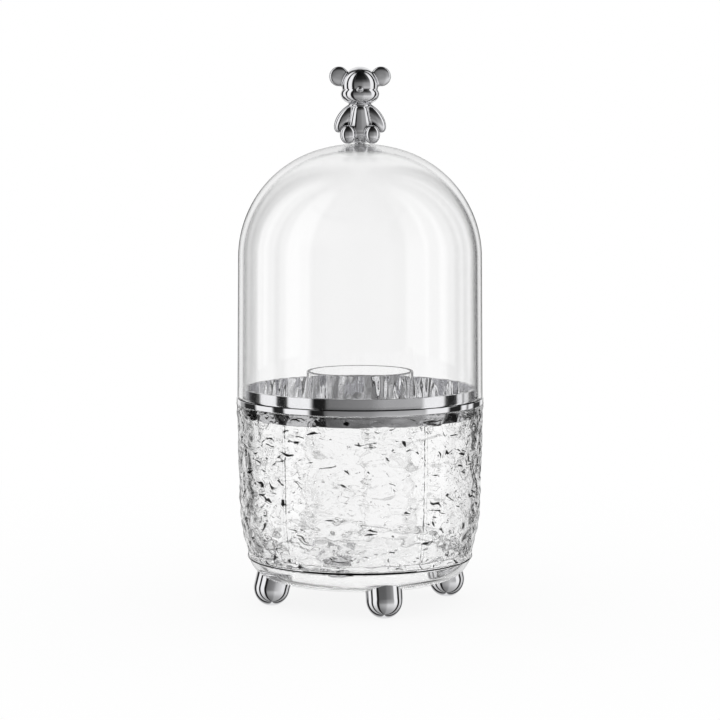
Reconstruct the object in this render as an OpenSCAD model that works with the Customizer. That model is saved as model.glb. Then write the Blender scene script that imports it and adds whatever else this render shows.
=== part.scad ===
// Dustproof makeup organizer: a clear rippled body on four splayed feet, closed by a clear dome
// that lifts off by the seated bear on its crown. A plated ring trims the mouth of the body, five
// vanes part the inside, and a clear cup lifts out of the middle.
// Millimetres, +Z up. The origin is on the table under the centre of the body, and the bear faces -Y.

/* [Body] */
// Diameter of the body at its mouth, the widest of the object
body_d = 122; // [118:1:126]
// Diameter of the body at its bottom edge
body_bottom_d = 111; // [108:0.5:114]
// Diameter of the body where its lower curve runs out into the straight wall
body_belly_d = 120; // [118:0.5:121]
// Height of that place above the body's bottom edge
body_belly_h = 31; // [24:1:40]
// Height of the body from its bottom edge to its mouth
body_h = 75.2; // [65:0.2:85]
// Thickness of the body's wall, from the ripple's crests to the smooth inside
body_wall = 3.4; // [3:0.1:3.6]
// Thickness of the body's floor
floor_t = 2.4; // [2:0.1:3]

/* [Base bowl and feet] */
// Height of the bowl's underside above the table
bowl_clear = 12; // [10:0.5:14]
// Height of the bowl from its underside to the body's bottom edge
bowl_h = 11.7; // [11:0.1:12.5]
// Radius of the bowl's round corner
bowl_corner_r = 14; // [13:0.5:15]
// Radius of the bowl's flat underside
bowl_flat_r = 41.5; // [40:0.5:42]
// Thickness of the bowl's wall and floor
bowl_wall = 2.5; // [2:0.1:3]
// Radius of a foot
foot_r = 8.9; // [8:0.1:9.5]
// Distance from the object's axis to the middle of a foot's pad
foot_circle_r = 45; // [42:0.5:46]
// Outward lean of a foot, in degrees
foot_lean = 14; // [8:1:20]
// Radius of the flat pad that a foot stands on
foot_pad_r = 3.1; // [2:0.1:4]
// Turn of the feet and vanes from the bear's front, in degrees
base_turn = 15; // [0:1:45]

/* [Trim ring] */
// Outer radius of the collar that the dome goes over
collar_r = 57; // [56.4:0.1:57.2]
// Height of the collar above the flange
collar_h = 5.2; // [4:0.2:7]
// Thickness of the collar and the skirt
ring_wall = 1.4; // [1.2:0.1:1.8]
// Outer radius of the flange that the dome stands on
flange_r = 60.8; // [60.4:0.1:61]
// Thickness of the flange
flange_t = 2.7; // [2:0.1:3]
// Depth of the skirt inside the body
skirt_h = 5.7; // [4:0.1:8]

/* [Dome] */
// Outer radius of the dome at its bottom edge
dome_r = 60.4; // [60.2:0.1:60.6]
// Radius that the dome's wall loses on its way up, so that it leaves its mould
dome_draft = 0.6; // [0.2:0.1:1]
// Height of the dome from its bottom edge to its crown
dome_h = 124.6; // [110:0.2:135]
// Radius of the arc that rounds the dome's shoulder
shoulder_r = 55; // [50:0.5:57]
// Radius of the flatter arc over the crown
crown_r = 72; // [66:0.5:80]
// Thickness of the dome
dome_wall = 2.6; // [2.2:0.1:2.8]

/* [Inside] */
// Outer radius of the cup
cup_r = 26.3; // [24:0.1:28]
// Height of the cup
cup_h = 88.8; // [80:0.2:94]
// Thickness of the cup's wall
cup_wall = 1.6; // [1.2:0.1:2]
// Thickness of the cup's floor
cup_floor_t = 2; // [1.5:0.1:3]
// Number of vanes
vane_count = 5; // [3:1:8]
// Thickness of a vane
vane_t = 1.8; // [1.4:0.1:2.4]
// Thickness of the sleeve that the cup slides into
sleeve_wall = 1.5; // [1.2:0.1:2]

/* [Bear] */
// Height of the bear over the dome's crown
bear_h = 38; // [34:0.5:42]

/* [Hidden] */
$fn = 96;

clear_tint = [0.93, 0.95, 0.96, 0.35];
plated_tint = [0.78, 0.78, 0.80];

// heights above the table
bowl_z = bowl_clear;
body_z = bowl_z + bowl_h;
floor_z = body_z + floor_t;
mouth_z = body_z + body_h;
seat_z = mouth_z + flange_t;
crown_z = seat_z + dome_h;

// the body's outline: an arc from the bottom edge to the belly, then a straight wall to the mouth
belly_z = body_z + body_belly_h;
belly_in = (body_belly_d - body_bottom_d) / 2;
belly_r = (body_belly_h * body_belly_h + belly_in * belly_in) / (2 * belly_in);
belly_cx = body_belly_d / 2 - belly_r;

// the bowl, and the spigot of the body that locates it
bowl_corner_z = bowl_z + bowl_corner_r;
bowl_bead_r = 55.7;
bowl_bead_h = 1.2;
spigot_r = 51.4;
spigot_wall = 1.8;
spigot_h = 2.2;

// a foot: a bar with a ball end, cut flat where it stands, with a peg into the bowl
foot_ball_z = sqrt(foot_r * foot_r - foot_pad_r * foot_pad_r);
foot_bar_h = 16;
peg_r = 2;
peg_fit = 0.1;
peg_top_z = bowl_z + 2.4;

// the ring's small chamfer, and the lip under its skirt
ring_edge = 0.4;
collar_in_r = collar_r - ring_wall;
skirt_r = body_d / 2 - body_wall - 0.2;

// the dome: draft wall, shoulder arc and crown arc, each tangent to the next
wall_top_r = dome_r - dome_draft;
shoulder_cx = wall_top_r - shoulder_r;
crown_cz = crown_z - crown_r;
shoulder_cz = crown_cz + sqrt(pow(crown_r - shoulder_r, 2) - shoulder_cx * shoulder_cx);
tangent_lean = atan2(shoulder_cx, shoulder_cz - crown_cz);
stud_r = 2.4;
stud_fit = 0.1;

// the vanes and their sleeve
cup_fit = 0.6;
sleeve_in_r = cup_r + cup_fit;
sleeve_r = sleeve_in_r + sleeve_wall;
vane_gap = 0.3;
vane_top_z = mouth_z - skirt_h - 0.2;
first_vane = base_turn + 90;

far = 300;
bear_scale = bear_h / 38;

// ---------- body ----------

// half outline of the body, set in from its outside
module body_outline(inset, from_z) {
    intersection() {
        union() {
            intersection() {
                translate([belly_cx, belly_z]) circle(r = belly_r - inset, $fn = 240);
                translate([0, from_z]) square([far, belly_z - from_z]);
            }
            polygon([[0, belly_z], [body_belly_d / 2 - inset, belly_z],
                [body_d / 2 - inset, mouth_z], [0, mouth_z]]);
        }
        translate([0, from_z]) square([far, far]);
    }
}

module body_shell() {
    color(clear_tint) rotate_extrude() {
        difference() {
            body_outline(0, body_z);
            body_outline(body_wall, floor_z);
        }
        translate([spigot_r - spigot_wall, body_z - spigot_h]) square([spigot_wall, spigot_h]);
    }
}

// ---------- base bowl and feet ----------

// half outline of the bowl, set in from its outside
module bowl_outline(inset) {
    intersection() {
        union() {
            translate([bowl_flat_r, bowl_corner_z]) circle(r = bowl_corner_r - inset);
            translate([0, bowl_z + inset]) square([bowl_flat_r, far]);
        }
        square([far, body_z]);
    }
}

module bowl_outside() {
    bowl_outline(0);
    translate([bowl_flat_r, body_z - bowl_bead_h]) square([bowl_bead_r - bowl_flat_r, bowl_bead_h]);
}

module at_foot(quarter) {
    rotate([0, 0, base_turn + quarter * 90]) translate([0, -foot_circle_r, 0]) children();
}

module base_bowl() {
    color(clear_tint) difference() {
        rotate_extrude() difference() {
            bowl_outside();
            bowl_outline(bowl_wall);
        }
        for (quarter = [0:3]) at_foot(quarter) cylinder(r = peg_r + peg_fit, h = body_z - 1);
    }
}

// half outline of the bar and its ball end, along the bar's own axis
module foot_outline() {
    intersection() {
        circle(r = foot_r);
        translate([0, -foot_r]) square([foot_r, foot_r]);
    }
    square([foot_r, foot_bar_h]);
}

module foot(quarter) {
    color(plated_tint) {
        difference() {
            at_foot(quarter) translate([0, 0, foot_ball_z]) rotate([-foot_lean, 0, 0])
                rotate_extrude() foot_outline();
            rotate_extrude() union() {
                bowl_outline(0);
                translate([0, bowl_corner_z - 4]) square([far / 3, far / 3]);
            }
            translate([-far / 2, -far / 2, -far]) cube(far);
        }
        at_foot(quarter) translate([0, 0, foot_ball_z]) cylinder(r = peg_r, h = peg_top_z - foot_ball_z);
    }
}

// ---------- trim ring ----------

module trim_ring() {
    color(plated_tint) rotate_extrude() polygon([
        [collar_in_r, mouth_z - skirt_h],
        [skirt_r - ring_edge, mouth_z - skirt_h],
        [skirt_r, mouth_z - skirt_h + ring_edge],
        [skirt_r, mouth_z],
        [flange_r - ring_edge, mouth_z],
        [flange_r, mouth_z + ring_edge],
        [flange_r, seat_z - ring_edge],
        [flange_r - ring_edge, seat_z],
        [collar_r, seat_z],
        [collar_r, seat_z + collar_h - ring_edge],
        [collar_r - ring_edge, seat_z + collar_h],
        [collar_in_r + ring_edge, seat_z + collar_h],
        [collar_in_r, seat_z + collar_h - ring_edge]
    ]);
}

// ---------- inside ----------

// one vane, standing on the floor and following the body's wall
module vane() {
    rotate([90, 0, 0]) translate([0, 0, -vane_t / 2]) linear_extrude(vane_t) intersection() {
        body_outline(body_wall + vane_gap, floor_z);
        translate([sleeve_in_r + sleeve_wall / 2, floor_z]) square([far, vane_top_z - floor_z]);
    }
}

module vane_insert() {
    color(clear_tint) {
        translate([0, 0, floor_z]) difference() {
            cylinder(r = sleeve_r, h = vane_top_z - floor_z);
            translate([0, 0, -1]) cylinder(r = sleeve_in_r, h = body_h + 2);
        }
        for (k = [0:vane_count - 1]) rotate([0, 0, first_vane - 90 + k * 360 / vane_count]) vane();
    }
}

module centre_cup() {
    color(clear_tint) translate([0, 0, floor_z]) rotate_extrude() polygon([
        [0, 0], [cup_r - 1, 0], [cup_r, 1],
        [cup_r, cup_h - 0.4], [cup_r - 0.4, cup_h],
        [cup_r - cup_wall + 0.4, cup_h], [cup_r - cup_wall, cup_h - 0.4],
        [cup_r - cup_wall, cup_floor_t + 1], [cup_r - cup_wall - 1, cup_floor_t], [0, cup_floor_t]
    ]);
}

// ---------- dome ----------

// half outline of the dome, set in from its outside: crown cap, shoulder disc and wall, each tangent
// to the next
module dome_outline(inset) {
    intersection() {
        translate([0, crown_cz]) circle(r = crown_r - inset, $fn = 240);
        translate([0, crown_cz])
            polygon([[0, 0], [0, far], [far * sin(tangent_lean), far * cos(tangent_lean)]]);
    }
    intersection() {
        translate([shoulder_cx, shoulder_cz]) circle(r = shoulder_r - inset, $fn = 240);
        translate([0, seat_z]) square([far, far]);
    }
    polygon([[0, seat_z], [dome_r - inset, seat_z], [wall_top_r - inset, shoulder_cz], [0, shoulder_cz]]);
}

module dome_cover() {
    color(clear_tint) difference() {
        rotate_extrude() difference() {
            dome_outline(0);
            dome_outline(dome_wall);
        }
        translate([0, 0, crown_z - dome_wall - 2]) cylinder(r = stud_r + stud_fit, h = dome_wall + 4);
    }
}

// ---------- bear ----------

// a straight rounded bar that tapers from one ball to another
module limb(from, from_r, to, to_r) {
    run = to - from;
    reach = norm(run);
    lean = asin((from_r - to_r) / reach);
    translate(from) rotate([0, acos(run.z / reach), atan2(run.y, run.x)]) rotate_extrude($fn = 48)
        intersection() {
            union() {
                circle(r = from_r);
                translate([0, reach]) circle(r = to_r);
                polygon([[0, 0], from_r * [cos(lean), sin(lean)],
                    [to_r * cos(lean), reach + to_r * sin(lean)], [0, reach]]);
            }
            translate([0, -from_r]) square([far, far]);
        }
}

// a round pebble lying on its flat side: a disc with a full round edge
module pebble(at, r, thick) {
    translate(at) rotate_extrude($fn = 64) {
        translate([0, -thick / 2]) square([r - thick / 2, thick]);
        translate([r - thick / 2, 0]) circle(r = thick / 2);
    }
}

module bear_half() {
    // ear, arm and leg
    translate([10.6, 0.4, 33.3]) rotate([90, 0, 0]) pebble([0, 0, 0], 4.9, 4.4);
    limb([4.2, 0.2, 15.2], 2.6, [9.9, -1.2, 8.6], 3.1);
    limb([4.4, -1, 2.6], 3.4, [5.8, -6.2, 3.9], 4);
}

module bear_figure() {
    color(plated_tint) translate([0, 0, crown_z]) {
        difference() {
            scale(bear_scale) union() {
                bear_half();
                mirror([1, 0, 0]) bear_half();
                // head, cheeks, muzzle and nose
                limb([0, 0.3, 28.6], 7.5, [0, 0.3, 30.3], 7.7);
                pebble([0, 0, 24.3], 9.3, 8.6);
                translate([0, -5.2, 23.6]) sphere(r = 4.3, $fn = 48);
                translate([0, -9, 25.4]) sphere(r = 1.4, $fn = 32);
                // neck, body and the seat under it
                limb([0, 0, 18.2], 4.4, [0, 0.5, 6.6], 6.6);
                translate([0, -0.5, -1]) cylinder(r = 5.2, h = 5, $fn = 48);
            }
            translate([0, 0, -crown_r]) sphere(r = crown_r + 0.05, $fn = 180);
        }
        translate([0, 0, -dome_wall + 0.2]) cylinder(r = stud_r, h = dome_wall + 4, $fn = 32);
    }
}

body_shell();
base_bowl();
foot(0);  // foot_front
foot(1);  // foot_right
foot(2);  // foot_back
foot(3);  // foot_left
trim_ring();
vane_insert();
centre_cup();
dome_cover();
bear_figure();
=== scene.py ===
"""A clear round organizer with a water-ripple body, a plated ring and feet, compartments round a
lift-out cup, and a clear dome lid with a seated bear for its knob. Metres, +Z up, bear towards -Y."""

from math import acos, asin, atan2, copysign, cos, degrees, hypot, pi, radians, sin, sqrt, tau

import bpy
from mathutils import Matrix, Vector


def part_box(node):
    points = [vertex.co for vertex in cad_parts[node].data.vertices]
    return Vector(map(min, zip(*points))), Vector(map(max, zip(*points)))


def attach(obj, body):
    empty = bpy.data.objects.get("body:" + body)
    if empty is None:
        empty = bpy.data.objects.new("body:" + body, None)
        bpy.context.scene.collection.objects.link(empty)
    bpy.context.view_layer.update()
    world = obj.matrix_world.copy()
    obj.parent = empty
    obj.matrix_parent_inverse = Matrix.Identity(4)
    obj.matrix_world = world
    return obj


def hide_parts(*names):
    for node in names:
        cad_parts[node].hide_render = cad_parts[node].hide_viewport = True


bl_info = {
    "name": "Clear Dome Organizer",
    "version": (1, 0, 0),
    "blender": (4, 5, 0),
    "location": "View3D > Sidebar > Organizer",
    "description": "Makes the dressed pieces of a clear organizer with a dome lid, and its stage",
    "category": "Object",
}

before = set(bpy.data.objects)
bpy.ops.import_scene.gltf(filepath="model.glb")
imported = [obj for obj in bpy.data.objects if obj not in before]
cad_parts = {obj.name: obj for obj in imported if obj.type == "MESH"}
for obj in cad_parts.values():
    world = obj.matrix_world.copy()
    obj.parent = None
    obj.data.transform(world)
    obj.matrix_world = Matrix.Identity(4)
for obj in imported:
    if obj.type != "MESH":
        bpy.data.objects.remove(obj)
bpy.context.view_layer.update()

MM = 0.001
UP = (0.0, 0.0, 1.0)

# sizes that more than one piece is fitted to
BODY_HEIGHT = 0.0752
DOME_HEIGHT = 0.1246
BOWL_FLAT = 0.0415
BOWL_CORNER = 0.014
SPIGOT_INNER, SPIGOT_OUTER = 0.0496, 0.0514


# ---------------------------------------------------------------- sizes and colours


class OrganizerBodySettings(bpy.types.PropertyGroup):
    """Sizes of the rippled body, its bowl and its feet"""

    mouth_radius: bpy.props.FloatProperty(
        name="Mouth radius",
        description="Outer radius of the body at its mouth",
        default=0.061, unit="LENGTH", precision=4,
    )
    belly_radius: bpy.props.FloatProperty(
        name="Belly radius",
        description="Outer radius where the lower curve runs out",
        default=0.06, unit="LENGTH", precision=4,
    )
    bottom_radius: bpy.props.FloatProperty(
        name="Bottom radius",
        description="Outer radius at the bottom edge",
        default=0.0555, unit="LENGTH", precision=4,
    )
    belly_height: bpy.props.FloatProperty(
        name="Belly height",
        description="Height of the belly above the bottom edge",
        default=0.031, unit="LENGTH", precision=4,
    )
    wall: bpy.props.FloatProperty(
        name="Wall",
        description="Wall from the ripple's crests to the smooth inside",
        default=0.0034, unit="LENGTH", precision=4,
    )
    floor: bpy.props.FloatProperty(
        name="Floor",
        description="Thickness of the body's floor",
        default=0.0024, unit="LENGTH", precision=4,
    )
    ripple_depth: bpy.props.FloatProperty(
        name="Ripple depth",
        description="Depth of the large ripples",
        default=0.0007, unit="LENGTH", precision=5,
    )
    ripple_size: bpy.props.FloatProperty(
        name="Ripple size",
        description="Size of a large ripple across",
        default=0.0062, unit="LENGTH", precision=4,
    )
    chop_depth: bpy.props.FloatProperty(
        name="Chop depth",
        description="Depth of the small ripples on the large ones",
        default=0.00015, unit="LENGTH", precision=5,
    )
    chop_size: bpy.props.FloatProperty(
        name="Chop size",
        description="Size of a small ripple across",
        default=0.0034, unit="LENGTH", precision=4,
    )
    ripple_stretch: bpy.props.FloatProperty(
        name="Ripple stretch",
        description="How much wider than high a ripple is",
        default=1.6, min=1.0, max=4.0,
    )
    foot_radius: bpy.props.FloatProperty(
        name="Foot radius",
        description="Radius of a foot",
        default=0.0089, unit="LENGTH", precision=4,
    )
    foot_circle: bpy.props.FloatProperty(
        name="Foot circle",
        description="Distance from the axis to the middle of a foot's pad",
        default=0.045, unit="LENGTH", precision=4,
    )
    foot_pad: bpy.props.FloatProperty(
        name="Foot pad radius",
        description="Radius of the flat that a foot stands on",
        default=0.0031, unit="LENGTH", precision=4,
    )
    foot_lean: bpy.props.FloatProperty(
        name="Foot lean", description="Outward lean of a foot", default=radians(14), subtype="ANGLE"
    )
    turn: bpy.props.FloatProperty(
        name="Turn",
        description="Turn of the feet and vanes from the bear's front",
        default=radians(15), subtype="ANGLE",
    )


class OrganizerRingSettings(bpy.types.PropertyGroup):
    """Sizes of the plated trim ring"""

    collar_radius: bpy.props.FloatProperty(
        name="Collar radius",
        description="Outer radius of the collar inside the dome",
        default=0.057, unit="LENGTH", precision=4,
    )
    collar_height: bpy.props.FloatProperty(
        name="Collar height",
        description="Height of the collar above the flange",
        default=0.0052, unit="LENGTH", precision=4,
    )
    wall: bpy.props.FloatProperty(
        name="Wall",
        description="Thickness of the collar and the skirt",
        default=0.0014, unit="LENGTH", precision=4,
    )
    flange_radius: bpy.props.FloatProperty(
        name="Flange radius",
        description="Outer radius of the flange",
        default=0.0608, unit="LENGTH", precision=4,
    )
    flange: bpy.props.FloatProperty(
        name="Flange",
        description="Thickness of the flange",
        default=0.0027, unit="LENGTH", precision=4,
    )
    skirt_radius: bpy.props.FloatProperty(
        name="Skirt radius",
        description="Outer radius of the skirt inside the body",
        default=0.0574, unit="LENGTH", precision=4,
    )
    skirt: bpy.props.FloatProperty(
        name="Skirt",
        description="Depth of the skirt inside the body",
        default=0.0057, unit="LENGTH", precision=4,
    )


class OrganizerDomeSettings(bpy.types.PropertyGroup):
    """Sizes of the dome and the cup"""

    radius: bpy.props.FloatProperty(
        name="Dome radius",
        description="Outer radius of the dome at its bottom edge",
        default=0.0604, unit="LENGTH", precision=4,
    )
    draft: bpy.props.FloatProperty(
        name="Draft",
        description="Radius that the wall loses on its way up",
        default=0.0006, unit="LENGTH", precision=4,
    )
    shoulder: bpy.props.FloatProperty(
        name="Shoulder",
        description="Radius of the shoulder's arc",
        default=0.055, unit="LENGTH", precision=4,
    )
    crown: bpy.props.FloatProperty(
        name="Crown",
        description="Radius of the crown's arc",
        default=0.072, unit="LENGTH", precision=4,
    )
    wall: bpy.props.FloatProperty(
        name="Wall", description="Thickness of the dome", default=0.0026, unit="LENGTH", precision=4
    )
    cup_radius: bpy.props.FloatProperty(
        name="Cup radius",
        description="Outer radius of the cup",
        default=0.0263, unit="LENGTH", precision=4,
    )
    cup_wall: bpy.props.FloatProperty(
        name="Cup wall",
        description="Thickness of the cup",
        default=0.0016, unit="LENGTH", precision=4,
    )
    vane: bpy.props.FloatProperty(
        name="Vane", description="Thickness of a vane", default=0.0018, unit="LENGTH", precision=4
    )
    sleeve_wall: bpy.props.FloatProperty(
        name="Sleeve wall",
        description="Thickness of the sleeve round the cup",
        default=0.0015, unit="LENGTH", precision=4,
    )
    vanes: bpy.props.IntProperty(name="Vanes", description="Number of vanes", default=5, min=3, max=8)


class OrganizerFinishSettings(bpy.types.PropertyGroup):
    """Colours and polish"""

    plating: bpy.props.FloatVectorProperty(
        name="Plating",
        description="Colour of the bright plating",
        default=(0.88, 0.88, 0.9), subtype="COLOR", min=0.0, max=1.0,
    )
    clear: bpy.props.FloatVectorProperty(
        name="Clear",
        description="Colour of the clear plastic seen square on",
        default=(1.0, 1.0, 1.0), subtype="COLOR", min=0.0, max=1.0,
    )
    rim_shade: bpy.props.FloatVectorProperty(
        name="Rim shade",
        description="Colour of the clear plastic seen edge on",
        default=(0.7, 0.71, 0.72), subtype="COLOR", min=0.0, max=1.0,
    )


class OrganizerStageSettings(bpy.types.PropertyGroup):
    """Camera, floor and studio"""

    distance: bpy.props.FloatProperty(
        name="Distance",
        description="Distance from the camera to the object's axis",
        default=1.184, unit="LENGTH",
    )
    height: bpy.props.FloatProperty(
        name="Height",
        description="Height of the camera above the table",
        default=0.2343, unit="LENGTH", precision=4,
    )
    pitch: bpy.props.FloatProperty(
        name="Pitch",
        description="How far the camera looks down",
        default=radians(5.519), subtype="ANGLE",
    )
    lens: bpy.props.FloatProperty(
        name="Lens", description="Focal length on a 36 mm sensor, in mm", default=120.56
    )
    floor_shade: bpy.props.FloatProperty(
        name="Floor shade",
        description="How much of the object's shadow shows on the floor",
        default=0.1, min=0.0, max=1.0,
    )


# ---------------------------------------------------------------- making by hand


def deselect():
    """Leaves edit mode and selects nothing."""
    if bpy.context.mode != "OBJECT":
        bpy.ops.object.mode_set(mode="OBJECT")
    bpy.ops.object.select_all(action="DESELECT")


def pick(piece):
    """Selects the piece alone and makes it the active one."""
    deselect()
    piece.select_set(True)
    bpy.context.view_layer.objects.active = piece


def name_piece(piece, name):
    """Gives the piece and its mesh one name."""
    piece.name = name
    piece.data.name = name
    return piece


def outline(name, points):
    """A piece that is one bent line through points (radius, height), extruded from its first point."""
    deselect()
    bpy.ops.mesh.primitive_plane_add(size=MM, location=(points[0][0], 0.0, points[0][1]))
    piece = name_piece(bpy.context.active_object, name)
    bpy.ops.object.transform_apply(location=True, rotation=True, scale=True)
    bpy.ops.object.mode_set(mode="EDIT")
    bpy.ops.mesh.select_all(action="SELECT")
    bpy.ops.mesh.merge(type="CENTER")
    for (r0, z0), (r1, z1) in zip(points, points[1:]):
        bpy.ops.mesh.extrude_region_move(TRANSFORM_OT_translate={"value": (r1 - r0, 0.0, z1 - z0)})
    return piece


def revolve(name, points, steps):
    """Turns an outline once round the axis and closes the join where its ends meet, and its poles."""
    piece = outline(name, points)
    turn = piece.modifiers.new("turn", "SCREW")
    turn.steps = turn.render_steps = steps
    turn.use_smooth_shade = False
    apply_modifiers(piece)
    bpy.ops.object.mode_set(mode="EDIT")
    bpy.ops.mesh.select_all(action="SELECT")
    bpy.ops.mesh.remove_doubles(threshold=2e-6)
    bpy.ops.mesh.normals_make_consistent(inside=False)
    bpy.ops.object.mode_set(mode="OBJECT")
    return piece


def arc(cx, cz, r, start, end, count):
    """Points on an arc; angles in degrees from +radius towards +height."""
    turns = [radians(start + (end - start) * k / count) for k in range(count + 1)]
    return [(cx + r * cos(t), cz + r * sin(t)) for t in turns]


def rounded(corners, radius, count=3):
    """An outline's corners, each but the first and last cut back and rounded."""
    out = [corners[0]]
    for before, here, after in zip(corners, corners[1:], corners[2:]):
        b, h, a = Vector(before), Vector(here), Vector(after)
        cut = min(radius, (b - h).length * 0.45, (a - h).length * 0.45)
        p0 = h + (b - h).normalized() * cut
        p1 = h + (a - h).normalized() * cut
        for k in range(count + 1):
            t = k / count
            out.append(tuple((p0.lerp(h, t)).lerp(h.lerp(p1, t), t)))
    out.append(corners[-1])
    return out


def divided(points, step):
    """The outline with no stretch longer than step."""
    out = [points[0]]
    for (r0, z0), (r1, z1) in zip(points, points[1:]):
        count = max(1, round(hypot(r1 - r0, z1 - z0) / step))
        out += [(r0 + (r1 - r0) * k / count, z0 + (z1 - z0) * k / count) for k in range(1, count + 1)]
    return out


def apply_modifiers(piece):
    """Applies every modifier of the piece, from the first to the last."""
    pick(piece)
    for modifier in [m.name for m in piece.modifiers]:
        bpy.ops.object.modifier_apply(modifier=modifier)


def smooth(piece, angle):
    """Shades the piece smooth, with its broad faces kept true where they meet a small rounding."""
    pick(piece)
    bpy.ops.object.shade_smooth_by_angle(angle=radians(angle))
    true = piece.modifiers.new("true faces", "WEIGHTED_NORMAL")
    true.keep_sharp = True
    true.weight = 100
    apply_modifiers(piece)


def seat(piece, body, slot, material, *nodes):
    """Gives a finished piece its material and its body, and hides the nodes it stands for; the slot is
    not used.
    """
    piece.data.materials.clear()
    piece.data.materials.append(material)
    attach(piece, body)
    if nodes:
        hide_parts(*nodes)


# ---------------------------------------------------------------- materials


class Nodes:
    """A short way to lay out a node tree."""

    def __init__(self, tree):
        self.tree = tree
        tree.nodes.clear()

    def add(self, kind, inputs=None, **settings):
        node = self.tree.nodes.new(kind)
        for key, value in settings.items():
            setattr(node, key, value)
        for key, value in (inputs or {}).items():
            if isinstance(value, bpy.types.NodeSocket):
                self.tree.links.new(value, node.inputs[key])
            else:
                node.inputs[key].default_value = value
        return node

    def ramp(self, fac, stops):
        node = self.add("ShaderNodeValToRGB", {"Fac": fac})
        elements = node.color_ramp.elements
        while len(elements) > 1:
            elements.remove(elements[-1])
        for k, (at, value) in enumerate(stops):
            stop = elements[0] if k == 0 else elements.new(at)
            stop.position = at
            colour = value if isinstance(value, (tuple, list)) else (value, value, value)
            stop.color = (*colour[:3], 1.0)
        return node.outputs["Color"]

    def math(self, operation, a, b=0.0):
        return self.add("ShaderNodeMath", {0: a, 1: b}, operation=operation).outputs[0]

    def vector(self, operation, a, b):
        return self.add("ShaderNodeVectorMath", {0: a, 1: b}, operation=operation).outputs[0]

    def dot(self, a, b):
        node = self.add("ShaderNodeVectorMath", {0: a, 1: b}, operation="DOT_PRODUCT")
        return node.outputs["Value"]

    def length(self, a):
        return self.add("ShaderNodeVectorMath", {0: a}, operation="LENGTH").outputs["Value"]

    def part(self, a, axis):
        """One of the X, Y and Z of a vector."""
        return self.add("ShaderNodeSeparateXYZ", {0: a}).outputs[axis]

    # comparisons give 1 where they hold and 0 elsewhere
    def below(self, a, b):
        return self.math("LESS_THAN", a, b)

    def above(self, a, b):
        return self.math("GREATER_THAN", a, b)

    def times(self, a, b):
        return self.math("MULTIPLY", a, b)

    def product(self, a, b):
        return self.mix(1.0, a, b, "MULTIPLY")

    def mix(self, fac, a, b, blend="MIX"):
        node = self.add("ShaderNodeMix", data_type="RGBA", blend_type=blend)
        for socket, value in ((node.inputs[0], fac), (node.inputs[6], a), (node.inputs[7], b)):
            if isinstance(value, bpy.types.NodeSocket):
                self.tree.links.new(value, socket)
            else:
                socket.default_value = value
        return node.outputs[2]


def grey(value):
    return (value, value, value, 1.0)


def new_material(name):
    material = bpy.data.materials.new(name)
    material.use_nodes = True
    return material, Nodes(material.node_tree)


def clear_plastic(
    name, tint, rim, ior, flow, blend=0.35, swirl=60.0, relief=None, level=None, base=0.0, thin=0.0
):
    """Clear moulded plastic: bright through, with a painted shade edge on, and faint flow marks from
    the mould.

    With a level given, the painted edge shade is only above it, and below it most of the light goes
    straight through. So it does on the flat floor below the height base, and everywhere by the share
    thin.
    """
    material, n = new_material(name)
    place = n.add("ShaderNodeTexCoord").outputs["Object"]
    height = n.part(place, "Z")
    inputs = {"Vector": place, "Scale": swirl, "Detail": 3.0, "Distortion": 0.6}
    marks = n.add("ShaderNodeTexNoise", inputs).outputs["Fac"]
    facing = n.add("ShaderNodeLayerWeight", {"Blend": blend}).outputs["Facing"]
    # painted shade: the colour turns to the rim colour where the surface is seen edge on, only above
    # the level when one is given
    edge = n.ramp(facing, [(0.0, 0.0), (0.55, 0.04), (0.8, 0.25), (0.93, 0.8), (1.0, 1.0)])
    if level:
        edge = n.product(edge, n.above(height, level))
    body = n.mix(n.times(marks, flow), (*tint, 1.0), (*[c * 0.8 for c in tint], 1.0))
    colour = n.mix(edge, body, (*rim, 1.0))
    polish = n.ramp(marks, [(0.3, 0.0), (0.8, 0.012)])
    inputs = {"Base Color": colour, "Roughness": polish, "Transmission Weight": 1.0, "IOR": ior}
    if relief:
        # painted shade: where the relief marks it, the colour turns black
        normal, painted_shade = relief(n, place)
        inputs["Base Color"] = n.mix(painted_shade, colour, grey(0.0))
        if normal:
            inputs["Normal"] = normal
    shader = n.add("ShaderNodeBsdfPrincipled", inputs)
    if base or thin or level:
        true = n.add("ShaderNodeNewGeometry").outputs["True Normal"]
        flat = n.above(n.math("ABSOLUTE", n.dot(true, UP)), 0.85)
        clear = n.times(n.times(flat, n.below(height, base)), 0.85)
        clear = n.math("MAXIMUM", clear, thin)
        if level:
            clear = n.math("MAXIMUM", clear, n.times(n.below(height, level), 0.85))
        if relief:
            clear = n.times(clear, n.math("SUBTRACT", 1.0, painted_shade))
        straight = n.add("ShaderNodeBsdfTransparent", {"Color": grey(1.0)})
        shader = n.add("ShaderNodeMixShader", {0: clear, 1: shader.outputs[0], 2: straight.outputs[0]})
    shadow = n.add("ShaderNodeBsdfTransparent", {"Color": grey(0.93)})
    casts = n.add("ShaderNodeLightPath").outputs["Is Shadow Ray"]
    both = n.add("ShaderNodeMixShader", {0: casts, 1: shader.outputs[0], 2: shadow.outputs[0]})
    n.add("ShaderNodeOutputMaterial", {"Surface": both.outputs[0]})
    return material


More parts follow.
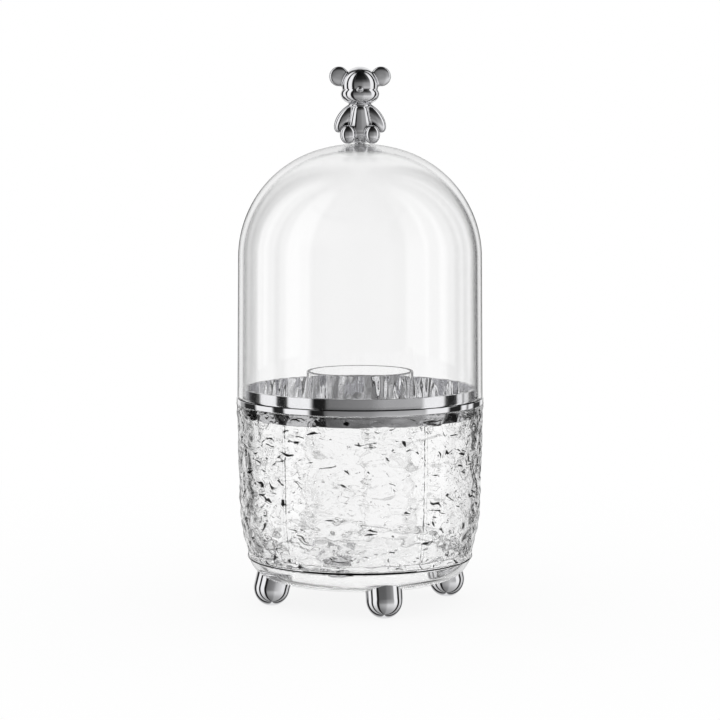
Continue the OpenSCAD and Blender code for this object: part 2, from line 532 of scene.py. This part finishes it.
def water_lines(n, place):
    """The fine crests and hooks of the water ripple, on the outside wall only, longer across than up.

    Gives the bumped normal, and a painted shade, black where little light comes through: on the lower
    side of some crests, more of it at the sides, and a few soft strokes.
    """

    def noise(stretch, scale, detail, distortion=0.0, shift=(0.0, 0.0, 0.0)):
        at = n.vector("ADD", n.vector("MULTIPLY", place, (1.0, 1.0, stretch)), shift)
        inputs = {
            "Vector": at, "Scale": scale, "Detail": detail, "Roughness": 0.4, "Distortion": distortion
        }
        return n.add("ShaderNodeTexNoise", inputs).outputs["Fac"]

    shape = n.add("ShaderNodeNewGeometry").outputs
    true = shape["True Normal"]
    seen = n.math("SUBTRACT", 1.0, n.times(shape["Backfacing"], 2.0))
    outside = n.above(n.times(n.dot(true, place), seen), 0.0)
    outside = n.times(outside, n.below(n.math("ABSOLUTE", n.dot(true, UP)), 0.7))
    wave = (1.6, 120.0, 0.8, 0.8)
    water = noise(*wave)
    steps = n.ramp(water, [(0.32, 0.0), (0.37, 0.44), (0.63, 0.56), (0.68, 1.0)])
    inputs = {"Height": n.times(steps, outside), "Strength": 1.0, "Distance": 0.0005}
    bump = n.add("ShaderNodeBump", inputs).outputs[0]
    rise = n.math("SUBTRACT", noise(*wave, (0.0002, 0.0001, 0.0004)), water)
    lower = n.ramp(n.math("ADD", rise, 0.5), [(0.51, 0.0), (0.52, 1.0)])
    side = n.math("POWER", n.math("ABSOLUTE", n.part(place, "X")), 2.0)
    far = n.math("ADD", n.math("ABSOLUTE", n.math("SUBTRACT", water, 0.5)), n.times(side, 10.0))
    tails = n.ramp(far, [(0.1, 0.0), (0.115, 1.0)])
    patch = n.math("ADD", noise(1.3, 130.0, 1.0, 0.0, (0.11, 0.05, 0.23)), n.times(side, 32.0))
    where = n.ramp(patch, [(0.54, 0.0), (0.56, 1.0)])
    strokes = n.ramp(noise(3.2, 70.0, 1.5, 0.4), [(0.64, 0.0), (0.67, 0.5), (0.74, 0.15)])
    # painted shade: black on the lower side of some crests, more at the sides, and a few soft strokes
    painted_shade = n.math("MAXIMUM", n.product(n.product(tails, lower), where), strokes)
    return bump, n.times(painted_shade, outside)


def painted_line(height, strength=1.0):
    """A painted shade: a dark line round a clear piece at the height given."""

    def relief(n, place):
        away = n.math("ABSOLUTE", n.math("SUBTRACT", n.part(place, "Z"), height))
        return None, n.times(n.below(away, 0.0003), strength)

    return relief


def plating(name, colour, inner=0.0, depth=0.0032, level=-1.0):
    """Bright plating over plastic: mirror-like, with a slight haze, and a painted shade that darkens
    each crease.

    Inside the radius inner the surface is wavy upright, as a press-fit ring's inside is, and outside it
    a painted shade darkens the plating below the height level. Depth is how far the crease shade
    reaches.
    """
    material, n = new_material(name)
    place = n.add("ShaderNodeTexCoord").outputs["Object"]
    haze = n.add("ShaderNodeTexNoise", {"Vector": place, "Scale": 140.0, "Detail": 4.0}).outputs["Fac"]
    tone = n.ramp(haze, [(0.35, tuple(c * 0.97 for c in colour)), (0.65, tuple(colour))])
    # painted shade: darker where the surface is closed in, in its creases
    crease = n.add("ShaderNodeAmbientOcclusion", {"Distance": depth}, samples=12, only_local=True)
    tone = n.product(tone, n.ramp(crease.outputs["AO"], [(0.45, 0.0), (0.7, 0.7), (0.88, 1.0)]))
    polish = n.ramp(haze, [(0.3, 0.02), (0.75, 0.06)])
    tall = n.vector("MULTIPLY", place, (1.0, 1.0, 0.3))
    wave = n.add("ShaderNodeTexNoise", {"Vector": tall, "Scale": 150.0, "Detail": 1.0}).outputs["Fac"]
    # painted shade: outside the radius inner, darker below the height level
    within = n.below(n.length(n.vector("MULTIPLY", place, (1.0, 1.0, 0.0))), inner)
    shaded = n.times(n.below(n.part(place, "Z"), level), n.math("SUBTRACT", 1.0, within))
    tone = n.mix(shaded, tone, n.product(tone, grey(0.6)))
    inputs = {"Height": n.times(wave, within), "Strength": 1.0, "Distance": 0.0045}
    normal = n.add("ShaderNodeBump", inputs).outputs[0]
    inputs = {"Base Color": tone, "Metallic": 1.0, "Roughness": polish, "Normal": normal}
    shader = n.add("ShaderNodeBsdfPrincipled", inputs)
    n.add("ShaderNodeOutputMaterial", {"Surface": shader.outputs[0]})
    return material


# ---------------------------------------------------------------- the pieces


def body_outline(s, top, bottom, inset, start):
    """The body's side from height start up to the mouth, set in from its outside."""
    belly = bottom + s.belly_height
    inward = s.belly_radius - s.bottom_radius
    r = (s.belly_height**2 + inward**2) / (2 * inward)
    cx = s.belly_radius - r
    low = degrees(asin((start - belly) / (r - inset)))
    curve = arc(cx, belly, r - inset, low, 0, 12)
    lean = (s.mouth_radius - s.belly_radius) / (top - belly)
    return curve + [(s.belly_radius - inset + lean * (z - belly), z) for z in (belly + 0.02, top)]


class ORGANIZER_OT_body(bpy.types.Operator):
    """Makes the clear body with its water-ripple relief outside and its smooth inside"""

    bl_idname = "organizer.body"
    bl_label = "Rippled Body"

    def execute(self, context):
        s = context.scene.organizer_body
        finish = context.scene.organizer_finish
        low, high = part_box("body_shell")
        top = high[2]
        bottom = top - BODY_HEIGHT
        spigot = low[2]
        outside = divided(body_outline(s, top, bottom, 0.0, bottom), 0.00064)
        inside = divided(body_outline(s, top, bottom, s.wall, bottom + s.floor), 0.003)
        foot = [
            (0.0, bottom),
            (SPIGOT_INNER - 0.0002, bottom),
            (SPIGOT_INNER, spigot),
            (SPIGOT_OUTER, spigot),
            (SPIGOT_OUTER, bottom),
        ]
        mouth = rounded([outside[-1], (outside[-1][0] - s.wall, top), inside[-2]], 0.0006)
        cavity = inside[-2:0:-1]
        floor = bottom + s.floor
        corner = rounded([cavity[-1], (inside[0][0], floor), (0.0, floor)], 0.003, 5)
        points = foot + outside + mouth[1:-1] + cavity[1:-1] + corner[1:]
        piece = revolve("rippled_body", points, 600)
        self.ripple(piece, s, top, bottom)
        smooth(piece, 60)
        clear = clear_plastic(
            "rippled clear plastic",
            finish.clear,
            (0.97, 0.97, 0.97),
            ior=1.4,
            flow=0.03,
            relief=water_lines,
            base=bottom + 0.01,
        )
        seat(piece, "base", "rippled_clear_plastic", clear, "body_shell")
        return {"FINISHED"}

    @staticmethod
    def ripple(piece, s, top, bottom):
        """Presses two sizes of ripple into the outside, fading out at the mouth and the bottom edge."""
        group = piece.vertex_groups.new(name="outside")
        belly = bottom + s.belly_height
        inward = s.belly_radius - s.bottom_radius
        curve = (s.belly_height**2 + inward**2) / (2 * inward)
        for v in piece.data.vertices:
            r, z = hypot(v.co.x, v.co.y), v.co.z
            lean = (s.mouth_radius - s.belly_radius) * max(0.0, z - belly) / (top - belly)
            outer = s.belly_radius + lean
            if z < belly:
                outer = s.belly_radius - curve + sqrt(max(0.0, curve**2 - (belly - z) ** 2))
            if r > outer - 0.0002 and z > bottom + 0.0001:
                fade = min(1.0, (z - bottom) / 0.0015, (top - z) / 0.0012)
                group.add([v.index], max(0.0, fade), "REPLACE")
        pick(piece)
        bpy.ops.object.mode_set(mode="EDIT")
        bpy.ops.mesh.select_all(action="SELECT")
        bpy.ops.transform.resize(value=(1, 1, s.ripple_stretch), center_override=(0, 0, 0))
        bpy.ops.object.mode_set(mode="OBJECT")
        for label, kind, size, depth in (
            ("large ripples", "BLENDER_ORIGINAL", s.ripple_size, s.ripple_depth),
            ("chop", "IMPROVED_PERLIN", s.chop_size, s.chop_depth),
        ):
            texture = bpy.data.textures.new(label, "CLOUDS")
            texture.noise_basis = kind
            texture.noise_depth = 0
            texture.noise_scale = size
            texture.contrast = 1.15
            press = piece.modifiers.new(label, "DISPLACE")
            press.texture = texture
            press.texture_coords = "LOCAL"
            press.vertex_group = "outside"
            press.mid_level = 1.0
            press.strength = depth
        apply_modifiers(piece)
        bpy.ops.object.mode_set(mode="EDIT")
        bpy.ops.mesh.select_all(action="SELECT")
        bpy.ops.transform.resize(value=(1, 1, 1 / s.ripple_stretch), center_override=(0, 0, 0))
        bpy.ops.object.mode_set(mode="OBJECT")


class ORGANIZER_OT_bowl(bpy.types.Operator):
    """Makes the shallow clear bowl under the body"""

    bl_idname = "organizer.bowl"
    bl_label = "Base Bowl"

    def execute(self, context):
        low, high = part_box("base_bowl")
        z0, z1 = low[2], high[2]
        wall, bead, bead_z = 0.0025, 0.0557, z1 - 0.0012
        cz = z0 + BOWL_CORNER
        top_out = degrees(asin((bead_z - cz) / BOWL_CORNER))
        top_in = degrees(asin((z1 - cz) / (BOWL_CORNER - wall)))
        outside = arc(BOWL_FLAT, cz, BOWL_CORNER, -90, top_out, 22)
        inside = arc(BOWL_FLAT, cz, BOWL_CORNER - wall, top_in, -90, 22)
        rim = rounded([outside[-1], (bead, bead_z), (bead, z1), inside[0], inside[1]], 0.0005)
        points = [(0.0, z0)] + outside + rim[1:-1] + inside[1:] + [(0.0, z0 + wall)]
        piece = revolve("base_bowl_clear", points, 192)
        smooth(piece, 40)
        clear = clear_plastic(
            "bowl clear plastic",
            (0.99, 0.99, 0.99),
            (0.9, 0.9, 0.9),
            ior=1.22,
            flow=0.05,
            # painted shade: a dark line round the bowl near its top
            relief=painted_line(z1 - 0.0008),
            base=z0 + 0.004,
        )
        seat(piece, "base", "bowl_clear_plastic", clear, "base_bowl")
        return {"FINISHED"}


class ORGANIZER_OT_feet(bpy.types.Operator):
    """Makes the four plated feet, each a leaning bar with a ball end cut flat where it stands"""

    bl_idname = "organizer.feet"
    bl_label = "Feet"

    def execute(self, context):
        s = context.scene.organizer_body
        chrome = plating("plated feet", context.scene.organizer_finish.plating)
        r, pad = s.foot_radius, s.foot_pad
        ball = sqrt(r * r - pad * pad)
        bowl_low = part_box("base_bowl")[0][2]
        points = arc(0.0, 0.0, r, -90, 0, 20) + [(r, 0.004), (r, 0.016), (0.0, 0.016)]
        for quarter, node in enumerate(("foot_front", "foot_right", "foot_back", "foot_left")):
            piece = revolve(node + "_plated", points, 72)
            turn = s.turn + quarter * pi / 2
            place = (
                Matrix.Rotation(turn, 4, "Z")
                @ Matrix.Translation((0.0, -s.foot_circle, ball))
                @ Matrix.Rotation(-s.foot_lean, 4, "X")
            )
            piece.data.transform(place)
            self.cut(piece, bowl_low)
            smooth(piece, 30)
            seat(piece, "base", "plated_feet", chrome, node)
        return {"FINISHED"}

    @staticmethod
    def cut(piece, bowl_low):
        """Cuts the pad flat at the table, and seats the top on the bowl's round side."""
        pick(piece)
        bpy.ops.object.mode_set(mode="EDIT")
        bpy.ops.mesh.select_all(action="SELECT")
        bpy.ops.mesh.bisect(
            plane_co=(0, 0, 0), plane_no=(0, 0, -1), clear_outer=True, use_fill=True, threshold=1e-6
        )
        bpy.ops.object.mode_set(mode="OBJECT")
        cz = bowl_low + BOWL_CORNER
        above = cz + 0.03
        points = [(0.0, bowl_low)] + arc(BOWL_FLAT, cz, BOWL_CORNER, -90, 0, 40)
        points += [(BOWL_FLAT + BOWL_CORNER, above), (0.0, above)]
        cutter = revolve("bowl_cutter", points, 192)
        pick(piece)
        seating = piece.modifiers.new("seating", "BOOLEAN")
        seating.object = cutter
        seating.operation = "DIFFERENCE"
        seating.solver = "EXACT"
        bpy.ops.object.modifier_apply(modifier="seating")
        bpy.data.objects.remove(cutter, do_unlink=True)


class ORGANIZER_OT_ring(bpy.types.Operator):
    """Makes the plated ring: collar inside the dome, flange under it, skirt inside the body"""

    bl_idname = "organizer.ring"
    bl_label = "Trim Ring"

    def execute(self, context):
        s = context.scene.organizer_ring
        low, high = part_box("trim_ring")
        mouth = low[2] + s.skirt
        seat_z = mouth + s.flange
        # the inside narrows upward
        inner = s.collar_radius - s.wall - 0.0006
        bottom = s.collar_radius - s.wall + 0.0004
        middle = ((inner + bottom) / 2, (low[2] + high[2]) / 2)
        corners = [
            middle,
            (bottom, low[2]),
            (s.skirt_radius, low[2]),
            (s.skirt_radius, mouth),
            (s.flange_radius, mouth),
            (s.flange_radius, seat_z),
            (s.collar_radius, seat_z),
            (s.collar_radius, high[2]),
            (inner, high[2]),
            middle,
        ]
        piece = revolve("trim_ring_plated", rounded(corners, 0.00035), 256)
        smooth(piece, 30)
        chrome = plating(
            "plated ring",
            context.scene.organizer_finish.plating,
            inner=(bottom + s.skirt_radius) / 2,
            depth=0.001,
            level=mouth - 0.0004,
        )
        seat(piece, "base", "plated_ring", chrome, "trim_ring")
        return {"FINISHED"}


class ORGANIZER_OT_vanes(bpy.types.Operator):
    """Makes the clear insert: a sleeve with vanes that part the body's inside"""

    bl_idname = "organizer.vanes"
    bl_label = "Vane Insert"

    def execute(self, context):
        body = context.scene.organizer_body
        s = context.scene.organizer_dome
        low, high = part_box("vane_insert")
        z0, z1 = low[2], high[2]
        inner = s.cup_radius + 0.0006
        outer = inner + s.sleeve_wall
        start = (inner, z0 + 0.01)
        corners = [start, (inner, z0), (outer, z0), (outer, z1), (inner, z1), start]
        sleeve = rounded(corners, 0.0003)
        piece = revolve("vane_insert_clear", sleeve, 128)
        shell_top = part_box("body_shell")[1][2]
        edge = body_outline(body, shell_top, shell_top - BODY_HEIGHT, body.wall + 0.0003, z0)
        edge = [p for p in edge if p[1] < z1] + [(body.belly_radius - body.wall + 0.0004, z1)]
        for k in range(s.vanes):
            vane = self.vane(edge, (inner + outer) / 2, z0, z1, s.vane, body.turn + k * tau / s.vanes)
            pick(piece)
            vane.select_set(True)
            bpy.ops.object.join()
        smooth(piece, 30)
        clear = clear_plastic(
            "insert clear plastic",
            (1.0, 1.0, 1.0),
            (0.96, 0.96, 0.96),
            ior=1.012,
            flow=0.02,
            relief=self.edges,
            thin=0.8,
        )
        seat(piece, "base", "insert_clear_plastic", clear, "vane_insert")
        return {"FINISHED"}

    @staticmethod
    def edges(n, place):
        """Painted shade: the vanes are painted dark along the top, and at the sides where they meet the
        body's wall.
        """
        flat = n.vector("MULTIPLY", place, (1.0, 1.0, 0.0))
        out = n.add("ShaderNodeVectorMath", {0: flat}, operation="NORMALIZE").outputs[0]
        true = n.add("ShaderNodeNewGeometry").outputs["True Normal"]
        turn = n.math("ABSOLUTE", n.dot(true, out))
        corner = n.times(n.above(turn, 0.3), n.below(turn, 0.97))
        # painted shade at the sides, in dots, only on the vanes away from the middle in X
        dots = n.add("ShaderNodeTexNoise", {"Vector": place, "Scale": 350.0}).outputs["Fac"]
        side = n.above(n.math("ABSOLUTE", n.part(place, "X")), 0.02)
        dark = n.times(side, n.ramp(dots, [(0.42, 0.4), (0.52, 1.0)]))
        top = n.above(n.math("ABSOLUTE", n.dot(true, UP)), 0.5)
        return None, n.math("MAXIMUM", n.times(corner, dark), n.times(top, 0.5))

    @staticmethod
    def vane(edge, root, z0, z1, thick, turn):
        """One upright plate from the sleeve to the body's wall, with its edges eased."""
        piece = outline("vane", [(root, z0)] + edge + [(root, z1)])
        bpy.ops.mesh.select_all(action="SELECT")
        bpy.ops.mesh.edge_face_add()
        bpy.ops.mesh.select_all(action="SELECT")
        bpy.ops.transform.translate(value=(0, -thick / 2, 0))
        bpy.ops.mesh.extrude_region_move(TRANSFORM_OT_translate={"value": (0, thick, 0)})
        bpy.ops.mesh.select_all(action="SELECT")
        bpy.ops.mesh.remove_doubles(threshold=1e-6)
        bpy.ops.mesh.normals_make_consistent(inside=False)
        bpy.ops.object.mode_set(mode="OBJECT")
        ease = piece.modifiers.new("ease", "BEVEL")
        ease.width = 0.00025
        ease.segments = 2
        ease.angle_limit = radians(50)
        apply_modifiers(piece)
        piece.data.transform(Matrix.Rotation(turn, 4, "Z"))
        return piece


class ORGANIZER_OT_cup(bpy.types.Operator):
    """Makes the clear cup that lifts out of the middle"""

    bl_idname = "organizer.cup"
    bl_label = "Centre Cup"

    def execute(self, context):
        s = context.scene.organizer_dome
        low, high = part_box("centre_cup")
        z0, z1 = low[2], high[2]
        r, w = s.cup_radius, s.cup_wall
        outside = rounded([(0.0, z0), (r, z0), (r, z1 - 0.004)], 0.0012, 4)
        rim = arc(r - w / 2, z1 - w / 2, w / 2, 0, 180, 8)
        inside = rounded([(r - w, z1 - 0.004), (r - w, z0 + 0.002), (0.0, z0 + 0.002)], 0.0016, 4)
        piece = revolve("centre_cup_clear", outside + rim + inside, 144)
        smooth(piece, 40)
        clear = clear_plastic(
            "cup clear plastic",
            (1.0, 1.0, 1.0),
            (0.3, 0.31, 0.32),
            ior=1.07,
            flow=0.03,
            # painted shade: a dark line round the cup's top
            relief=painted_line(z1, 0.7),
            level=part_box("body_shell")[1][2],
        )
        seat(piece, "cup", "cup_clear_plastic", clear, "centre_cup")
        return {"FINISHED"}


class ORGANIZER_OT_dome(bpy.types.Operator):
    """Makes the clear dome, with the hole in its crown for the bear's stud"""

    bl_idname = "organizer.dome"
    bl_label = "Dome Cover"

    def execute(self, context):
        s = context.scene.organizer_dome
        z0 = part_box("dome_cover")[0][2]
        z1 = z0 + DOME_HEIGHT
        hole = 0.0025
        top_r = s.radius - s.draft
        shoulder_x = top_r - s.shoulder
        crown_z = z1 - s.crown
        shoulder_z = crown_z + sqrt((s.crown - s.shoulder) ** 2 - shoulder_x**2)
        meet = degrees(atan2(shoulder_z - crown_z, shoulder_x))

        def side(inset):
            crown = s.crown - inset
            start = degrees(acos(hole / crown))
            return (
                divided([(s.radius - inset, z0), (top_r - inset, shoulder_z)], 0.006)[:-1]
                + arc(shoulder_x, shoulder_z, s.shoulder - inset, 0, meet, 40)
                + arc(0.0, crown_z, crown, meet, start, 12)[1:]
            )

        outside, inside = side(0.0), side(s.wall)[::-1]
        rim = rounded([inside[-2], inside[-1], outside[0], outside[1]], 0.0011, 5)
        points = rim[1:-1] + outside[1:] + inside[:-1] + [rim[1]]
        piece = revolve("dome_cover_clear", points, 240)
        smooth(piece, 40)
        finish = context.scene.organizer_finish
        clear = clear_plastic(
            "dome clear plastic",
            finish.clear,
            finish.rim_shade,
            ior=1.44,
            flow=0.03,
            blend=0.3,
            swirl=25.0,
            # painted shade: a dark line round the dome's bottom edge
            relief=painted_line(z0),
        )
        seat(piece, "lid", "dome_clear_plastic", clear, "dome_cover")
        return {"FINISHED"}


class ORGANIZER_OT_bear(bpy.types.Operator):
    """Makes the plated bear from round forms that are melted into one and smoothed"""

    bl_idname = "organizer.bear"
    bl_label = "Seated Bear"

    def execute(self, context):
        s = context.scene.organizer_dome
        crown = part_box("dome_cover")[0][2] + DOME_HEIGHT
        parts = []

        def ball(x, y, z, rx, ry, rz, lean=0.0):
            deselect()
            bpy.ops.mesh.primitive_uv_sphere_add(
                segments=64,
                ring_count=40,
                radius=1,
                location=(x * MM, y * MM, crown + z * MM),
                scale=(rx * MM, ry * MM, rz * MM),
            )
            part = bpy.context.active_object
            part.rotation_euler = (0.0, lean, 0.0)
            parts.append(part)

        def bar(a, ra, b, rb):
            """A tapered bar with round ends, its side tangent to them."""
            start, end = Vector(a), Vector(b)
            ball(*a, ra, ra, ra)
            ball(*b, rb, rb, rb)
            run = end - start
            lean = (ra - rb) / run.length
            flat = sqrt(1 - lean * lean)
            start, end = start + run.normalized() * ra * lean, end + run.normalized() * rb * lean
            deselect()
            bpy.ops.mesh.primitive_cone_add(
                vertices=64,
                radius1=ra * flat * MM,
                radius2=rb * flat * MM,
                depth=(end - start).length * MM,
            )
            part = bpy.context.active_object
            middle = (start + end) / 2
            part.location = (middle.x * MM, middle.y * MM, crown + middle.z * MM)
            part.rotation_euler = run.to_track_quat("Z", "Y").to_euler()
            parts.append(part)

        def ear(x, y, z, r, half):
            """A round ear facing forward and a little down, nearly flat, with a full round edge."""
            full = 0.67
            points = []
            for k in range(31):
                a = radians(-90 + 6 * k)
                out, up = abs(cos(a)) ** full, copysign(abs(sin(a)) ** full, a)
                points.append((r * MM * out, half * MM * up))
            part = revolve("ear", [(0.0, points[0][1])] + points[1:-1] + [(0.0, points[-1][1])], 64)
            part.data.transform(Matrix.Rotation(pi / 2 + radians(5), 4, "X"))
            part.location = (x * MM, y * MM, crown + z * MM)
            parts.append(part)

        # head: skull, cheeks, muzzle and nose
        ball(0, 0.3, 28.4, 8.95, 8.1, 9.0)
        ball(0, -0.6, 24.1, 9.4, 7.7, 5.6)
        ball(0, -2.2, 23.9, 8.6, 6.1, 5.4)
        ball(0, -8.8, 26.4, 1.7, 1.2, 1.0)
        # neck and body
        ball(0, 0.2, 18.6, 5.6, 5.2, 2.4)
        bar((0, -1.8, 15.8), 4.4, (0, 0.4, 7.0), 6.8)
        ball(0, 0.4, 5.2, 6.9, 6.7, 5.6)
        for side in (-1, 1):
            ear(side * 10.2, 0.4, 32.7, 4.9, 1.9)
            # arm: a flap that hangs like a cape from the neck and ends round
            ball(side * 7.0, -0.3, 12.3, 4.2, 3.3, 8.1, lean=-side * radians(35))
            # leg that ends in a tall paw
            bar((side * 4.0, -0.4, 4.0), 3.2, (side * 5.6, -4.6, 4.0), 3.5)
            ball(side * 5.9, -6.0, 4.5, 3.9, 2.9, 4.7)
        deselect()
        for part in parts:
            part.select_set(True)
        bpy.context.view_layer.objects.active = parts[0]
        bpy.ops.object.join()
        piece = name_piece(bpy.context.active_object, "bear_figure_plated")
        bpy.ops.object.transform_apply(location=True, rotation=True, scale=True)
        melt = piece.modifiers.new("melt", "REMESH")
        melt.mode = "VOXEL"
        melt.voxel_size = 0.00028
        ease = piece.modifiers.new("ease", "SMOOTH")
        ease.factor = 0.6
        ease.iterations = 5
        apply_modifiers(piece)
        # the underside follows the crown
        centre = Vector((0.0, 0.0, crown - s.crown))
        clear_of = s.crown + 0.00003
        for v in piece.data.vertices:
            out = v.co - centre
            if out.length < clear_of:
                v.co = centre + out.normalized() * clear_of
        smooth(piece, 60)
        chrome = plating("plated bear", context.scene.organizer_finish.plating)
        seat(piece, "lid", "plated_bear", chrome, "bear_figure")
        r, cut, low, high = 0.0024, 0.0004, crown - 0.0024, crown + 0.001
        points = [(0.0, low), (r - cut, low), (r, low + cut), (r, high), (0.0, high)]
        stud = revolve("bear_stud", points, 48)
        smooth(stud, 30)
        seat(stud, "lid", "plated_bear", chrome)
        return {"FINISHED"}


# ---------------------------------------------------------------- the stage


class ORGANIZER_OT_stage(bpy.types.Operator):
    """Sets the camera, the pale floor and the soft studio round the object"""

    bl_idname = "organizer.stage"
    bl_label = "Stage"

    def execute(self, context):
        s = context.scene.organizer_stage
        self.camera(context, s)
        self.floor(s)
        self.studio(context)
        scene = context.scene
        scene.view_settings.view_transform = "Standard"
        scene.cycles.max_bounces = 32
        scene.cycles.transmission_bounces = 32
        scene.cycles.glossy_bounces = 12
        scene.cycles.transparent_max_bounces = 32
        scene.cycles.caustics_reflective = False
        scene.cycles.caustics_refractive = False
        return {"FINISHED"}

    @staticmethod
    def camera(context, s):
        deselect()
        bpy.ops.object.camera_add(
            location=(0.0, -s.distance, s.height), rotation=(pi / 2 - s.pitch, 0.0, 0.0)
        )
        camera = bpy.context.active_object
        camera.name = "camera"
        camera.data.lens = s.lens
        camera.data.sensor_width = 36.0
        camera.data.clip_end = 50.0
        context.scene.camera = camera

    @staticmethod
    def floor(s):
        deselect()
        bpy.ops.mesh.primitive_circle_add(vertices=96, radius=6.0, fill_type="NGON", location=(0, 0, 0))
        floor = name_piece(bpy.context.active_object, "floor")
        material, n = new_material("pale floor")
        place = n.add("ShaderNodeTexCoord").outputs["Object"]
        grain = n.add("ShaderNodeTexNoise", {"Vector": place, "Scale": 300.0}).outputs["Fac"]
        matt = n.add("ShaderNodeBsdfDiffuse", {"Color": n.ramp(grain, [(0.3, 0.93), (0.7, 0.95)])})
        glow = n.add("ShaderNodeEmission", {"Color": grey(1.0), "Strength": 1.0})
        near = n.ramp(n.length(place), [(0.12, 1.0 - s.floor_shade), (0.45, 1.0)])
        seen = n.add("ShaderNodeMixShader", {0: near, 1: matt.outputs[0], 2: glow.outputs[0]})
        path = n.add("ShaderNodeLightPath")
        direct = n.math("MAXIMUM", path.outputs["Is Camera Ray"], path.outputs["Is Diffuse Ray"])
        open_floor = n.add("ShaderNodeBsdfTransparent", {"Color": grey(1.0)})
        both = n.add("ShaderNodeMixShader", {0: direct, 1: open_floor.outputs[0], 2: seen.outputs[0]})
        n.add("ShaderNodeOutputMaterial", {"Surface": both.outputs[0]})
        floor.data.materials.append(material)

    @staticmethod
    def studio(context):
        """White walls, with soft boxes and dark gaps between them for the plating and the gloss."""
        world = bpy.data.worlds.new("studio")
        context.scene.world = world
        world.use_nodes = True
        n = Nodes(world.node_tree)
        way = n.add("ShaderNodeTexCoord").outputs["Generated"]
        back = n.times(n.part(way, "Y"), -1.0)
        turn = n.math("ARCTAN2", n.part(way, "X"), back)
        round_ = n.math("ADD", n.math("DIVIDE", turn, tau), 0.5)
        rise = n.math("ADD", n.math("DIVIDE", n.math("ARCSINE", n.part(way, "Z")), pi), 0.5)

        def around(stops):
            """Light by the turn from the bear's front, in degrees, right of it positive."""
            return n.ramp(round_, [((a + 180) / 360, v) for a, v in stops])

        def over(stops):
            """Light by the height above the table, in degrees."""
            return n.ramp(rise, [((e + 90) / 180, v) for e, v in stops])

        bands = around([
            (-158, 0.9), (-150, 0.9), (-147, 0.45), (-138, 0.35), (-134, 0.03), (-115, 0.02),
            (-111, 1.0), (-90, 1.0), (-87, 0.02), (-76, 0.02), (-73, 1.0), (-50, 1.0), (-46, 0.012),
            (-34, 0.015), (-30, 0.4), (10, 0.6), (24, 0.9), (88, 1.0), (92, 0.02), (107, 0.02),
            (110, 0.95), (116, 0.95), (119, 0.03), (122, 0.9), (128, 0.9), (132, 0.04), (148, 0.04),
            (153, 0.9),
        ])
        sides = over([(-90, 0.25), (-50, 0.5), (-15, 0.95), (0, 1.0), (45, 1.0), (60, 0.7), (72, 0.02)])
        front = over([
            (-90, 0.3), (-50, 0.5), (-30, 0.75), (-18, 0.8), (-10, 0.55), (-4, 0.42), (6, 0.36),
            (11, 0.32), (20, 0.14), (34, 0.03), (60, 0.01),
        ])
        rear = over([
            (-60, 0.9), (-12, 0.9), (-10, 0.05), (2, 0.05), (6, 0.9), (50, 0.9), (64, 0.5), (76, 0.02)
        ])
        tall = n.mix(around([(-34, 0), (-31, 1), (40, 1), (62, 0.9), (66, 0)]), sides, front)
        tall = n.mix(around([(-168, 1), (-164, 0), (164, 0), (168, 1)]), tall, rear)
        gloss = n.product(bands, tall)
        # straight through the clear pieces: white ahead, with the dark of the room wide of it
        wide = [(0, 0.9), (98, 0.9), (102, 0.02), (132, 0.015), (136, 0.95), (160, 1.0)]
        high = over([(-31, 1.0), (14, 1.0), (18, 0.015), (44, 0.02), (50, 0.9)])
        ahead = n.math("DIVIDE", n.math("ABSOLUTE", turn), pi)
        through = n.product(n.ramp(ahead, [(a / 180, v) for a, v in wide]), high)
        path = n.add("ShaderNodeLightPath").outputs
        colour = n.mix(n.math("MINIMUM", path["Glossy Depth"], 1.0), through, gloss)
        colour = n.mix(path["Is Diffuse Ray"], colour, grey(1.0))
        colour = n.mix(path["Is Camera Ray"], colour, grey(1.0))
        light = n.add("ShaderNodeBackground", {"Color": colour, "Strength": 1.0})
        n.add("ShaderNodeOutputWorld", {"Surface": light.outputs[0]})


# ---------------------------------------------------------------- panel and start


class ORGANIZER_PT_panel(bpy.types.Panel):
    """Lists the pieces and their sizes"""

    bl_idname = "ORGANIZER_PT_panel"
    bl_label = "Organizer"
    bl_space_type = "VIEW_3D"
    bl_region_type = "UI"
    bl_category = "Organizer"

    def draw(self, context):
        for operator in PIECES:
            self.layout.operator(operator.bl_idname)
        for group, label in (
            ("organizer_body", "Body"),
            ("organizer_ring", "Ring"),
            ("organizer_dome", "Dome and cup"),
            ("organizer_finish", "Finish"),
            ("organizer_stage", "Stage"),
        ):
            box = self.layout.box()
            box.label(text=label)
            settings = getattr(context.scene, group)
            for key in settings.__annotations__:
                box.prop(settings, key)


SETTINGS = {
    "organizer_body": OrganizerBodySettings,
    "organizer_ring": OrganizerRingSettings,
    "organizer_dome": OrganizerDomeSettings,
    "organizer_finish": OrganizerFinishSettings,
    "organizer_stage": OrganizerStageSettings,
}
PIECES = (
    ORGANIZER_OT_body,
    ORGANIZER_OT_bowl,
    ORGANIZER_OT_feet,
    ORGANIZER_OT_ring,
    ORGANIZER_OT_vanes,
    ORGANIZER_OT_cup,
    ORGANIZER_OT_dome,
    ORGANIZER_OT_bear,
    ORGANIZER_OT_stage,
)


def register():
    for group in SETTINGS.values():
        bpy.utils.register_class(group)
    for name, group in SETTINGS.items():
        setattr(bpy.types.Scene, name, bpy.props.PointerProperty(type=group))
    for operator in (*PIECES, ORGANIZER_PT_panel):
        bpy.utils.register_class(operator)


def unregister():
    for operator in reversed((*PIECES, ORGANIZER_PT_panel)):
        bpy.utils.unregister_class(operator)
    for name in SETTINGS:
        delattr(bpy.types.Scene, name)
    for group in reversed(list(SETTINGS.values())):
        bpy.utils.unregister_class(group)


def main():
    register()
    for step in ("stage", "body", "bowl", "feet", "ring", "vanes", "cup", "dome", "bear"):
        getattr(bpy.ops.organizer, step)()


if __name__ == "__main__":
    main()
